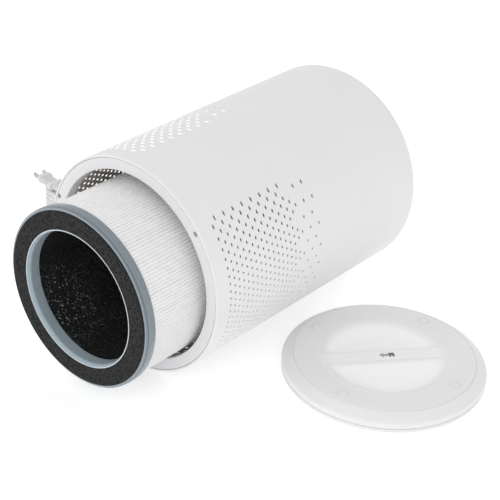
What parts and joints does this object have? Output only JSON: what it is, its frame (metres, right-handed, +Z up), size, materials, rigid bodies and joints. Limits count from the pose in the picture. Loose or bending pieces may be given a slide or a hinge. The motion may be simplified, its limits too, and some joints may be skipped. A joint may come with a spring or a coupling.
{
  "type": "air purifier",
  "caption": "Round tower air purifier lying open on its side, its hollow filter cartridge drawn half out and its round bottom cover beside it.",
  "frame": {"origin": "on the floor under the middle of the object as it lies open, leaving out the cord", "axes": "+Z up; +Y along the housing's axis from its open end to its outlet grille; +X across, towards the loose cover"},
  "size_m": [0.688, 0.4334, 0.25],
  "materials": {
    "shell_white": "satin moulded white",
    "ring_white": "satin moulded cool white",
    "cover_white": "satin moulded white",
    "liner_grey": "fine matt moulded",
    "panel_white": "satin",
    "light_clear": "frosted light guide",
    "cap_blue": "satin blue-grey",
    "foam_black": "open-cell foam, matt",
    "media_white": "pleated filter paper, matt",
    "carbon_black": "granular, matt",
    "mesh_black": "netting",
    "motor_metal": "satin",
    "steel": "plain",
    "fan_grey": "matt moulded",
    "board_green": "solder mask",
    "switch_black": "matt",
    "cord_white": "soft satin",
    "plug_white": "moulded satin",
    "pin_metal": "bright",
    "tie_grey": "matt",
    "foot_grey": "soft matt",
    "mark_grey": "printed"
  },
  "bodies": {
    "housing": {"outer_shell": "shell_white", "bottom_ring": "ring_white", "top_grille": "shell_white", "control_panel": "panel_white", "light_ring": "light_clear", "sensor_cover": "ring_white", "electronics_column": "liner_grey", "control_board": "board_green", "panel_switch": "switch_black", "power_board": "board_green", "fan_deck": "liner_grey", "inlet_guard": "switch_black", "fan_casing": "liner_grey", "stator_vanes": "liner_grey", "drive_motor": "motor_metal", "motor_screws": "steel", "deck_screws": "steel", "particle_sensor": "switch_black", "cable_duct": "liner_grey", "cover_switch": "switch_black", "cord_gland": "cord_white", "power_cord": "cord_white", "cord_hank": "cord_white", "cord_tail": "cord_white", "cord_tie": "tie_grey", "plug_body": "plug_white", "plug_pins": "pin_metal"},
    "power_button": {"power_button": "panel_white"},
    "fan": {"motor_shaft": "steel", "impeller_disc": "fan_grey", "impeller_blades": "fan_grey", "impeller_shroud": "fan_grey", "hub_nut": "steel"},
    "filter": {"front_cap": "cap_blue", "rear_cap": "cap_blue", "front_gasket": "foam_black", "rear_gasket": "foam_black", "pleated_media": "media_white", "carbon_layer": "carbon_black", "core_mesh": "mesh_black"},
    "cover": {"cover_shell": "cover_white", "grip_pan": "cover_white", "bayonet_collar": "ring_white", "pressure_plate": "ring_white", "foot_pads": "foot_grey", "lock_mark": "mark_grey"}
  },
  "joints": [
    {"name": "button_press", "type": "slide", "parent": "housing", "child": "power_button", "axis": [0, -1, 0], "range_m": [0, 0.0008], "stiffness_N_per_m": 1500, "springref_m": -0.0004},
    {"name": "fan_spin", "type": "hinge", "parent": "housing", "child": "fan", "pos_m": [-0.1008, 0.0847, 0.125], "axis": [0, 1, 0], "continuous": true},
    {"name": "filter_slide", "type": "slide", "parent": "housing", "child": "filter", "axis": [0, -1, 0], "range_m": [-0.0795, 0.105]},
    {"name": "cover_lift", "type": "slide", "parent": "housing", "child": "cover", "axis": [0.6, 0, 0.8], "range_m": [0, 0.15]}
  ]
}
